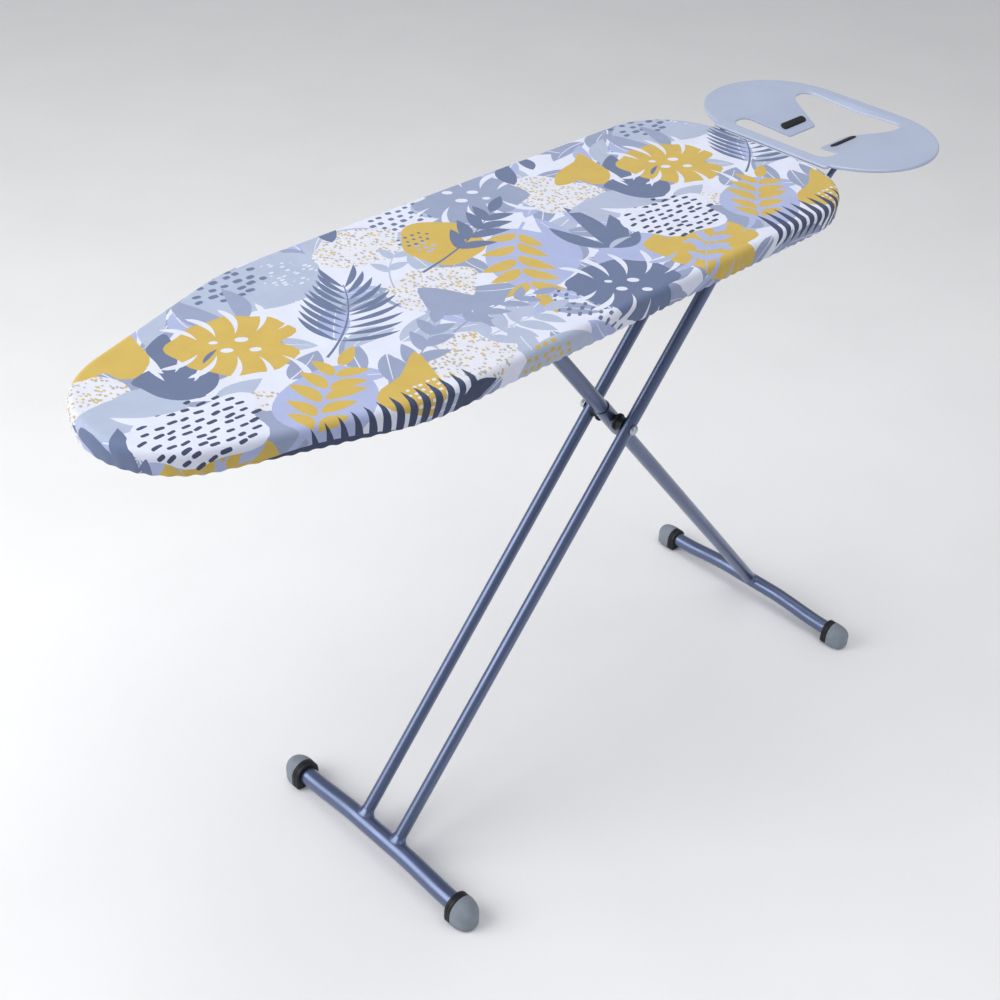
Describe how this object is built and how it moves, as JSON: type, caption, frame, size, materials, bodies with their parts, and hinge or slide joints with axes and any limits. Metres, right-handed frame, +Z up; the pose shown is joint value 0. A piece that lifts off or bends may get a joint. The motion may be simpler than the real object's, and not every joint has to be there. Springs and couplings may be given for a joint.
{
  "type": "ironing board",
  "caption": "Folding ironing board: padded fabric-covered steel mesh top with a rounded nose, scissor legs in round tube with rubber feet, and a fixed iron rest with dipped tongues.",
  "frame": {"origin": "on the floor, under the middle of the bounding box of the standing board", "axes": "+X runs along the board from the nose to the iron rest, +Y across it away from the release lever's side, +Z up"},
  "size_m": [1.358, 0.4266, 0.915],
  "materials": {
    "painted_steel": "satin blue-grey powder coat",
    "rest_enamel": "pale blue-grey enamel",
    "zinc_plate": "bright zinc plate",
    "black_plastic": "fine grain",
    "grey_rubber": "matte",
    "black_silicone": "smooth matte",
    "printed_cotton": "printed leaf pattern on a pale ground, plain weave",
    "felt": "needled felt",
    "elastic": "braided",
    "nylon": "natural"
  },
  "bodies": {
    "board": {"rim_frame": "painted_steel", "mesh_top": "painted_steel", "felt_pad": "felt", "fabric_cover": "printed_cotton", "hem_elastic": "elastic", "hinge_cross_bar": "painted_steel", "middle_cross_bar": "painted_steel", "nose_cross_bar": "painted_steel", "hinge_ear_near": "painted_steel", "hinge_ear_far": "painted_steel", "hinge_bolt": "zinc_plate", "hinge_nut": "zinc_plate", "guide_rail": "painted_steel", "lever_bracket_inner": "painted_steel", "lever_bracket_outer": "painted_steel", "iron_rest": "rest_enamel", "rest_strip_near": "black_silicone", "rest_strip_far": "black_silicone", "rest_arm_near": "painted_steel", "rest_arm_far": "painted_steel", "rest_tab_near": "zinc_plate", "rest_tab_far": "zinc_plate"},
    "front_leg": {"front_tube_near": "painted_steel", "front_tube_far": "painted_steel", "front_plug_near": "black_plastic", "front_plug_far": "black_plastic", "hinge_sleeve": "zinc_plate", "front_foot_bar": "painted_steel", "front_collar_near": "black_plastic", "front_collar_far": "black_plastic", "front_cap_near": "grey_rubber", "front_cap_far": "grey_rubber", "pivot_spacer_near": "black_plastic", "pivot_spacer_far": "black_plastic", "pivot_bolt": "zinc_plate", "pivot_nut": "zinc_plate"},
    "rear_leg": {"rear_tube": "painted_steel", "rear_plug": "black_plastic", "rear_foot_bar": "painted_steel", "rear_collar_near": "black_plastic", "rear_collar_far": "black_plastic", "rear_cap_near": "grey_rubber", "rear_cap_far": "grey_rubber", "slide_pin": "zinc_plate", "slide_bush_near": "nylon", "slide_bush_far": "nylon", "pivot_saddle_near": "painted_steel", "pivot_saddle_far": "painted_steel"},
    "height_lever": {"rack_plate_near": "zinc_plate", "rack_plate_far": "zinc_plate", "lever_shaft": "zinc_plate", "lever_arm": "zinc_plate", "lever_grip": "black_plastic"}
  },
  "joints": [
    {"name": "front_fold", "type": "hinge", "parent": "board", "child": "front_leg", "pos_m": [0.37609, 0, 0.862], "axis": [0, 1, 0], "range_deg": [0, 46]},
    {"name": "rear_fold", "type": "hinge", "parent": "front_leg", "child": "rear_leg", "pos_m": [0.142, 0, 0.576], "axis": [0, 1, 0], "range_deg": [-92, 0]},
    {"name": "lever_turn", "type": "hinge", "parent": "board", "child": "height_lever", "pos_m": [0.048, 0, 0.874], "axis": [0, 1, 0], "range_deg": [-2.7, 1.5]}
  ],
  "couplings": [
    {"joint": "rear_fold", "follows": "front_fold", "ratio": -2}
  ]
}
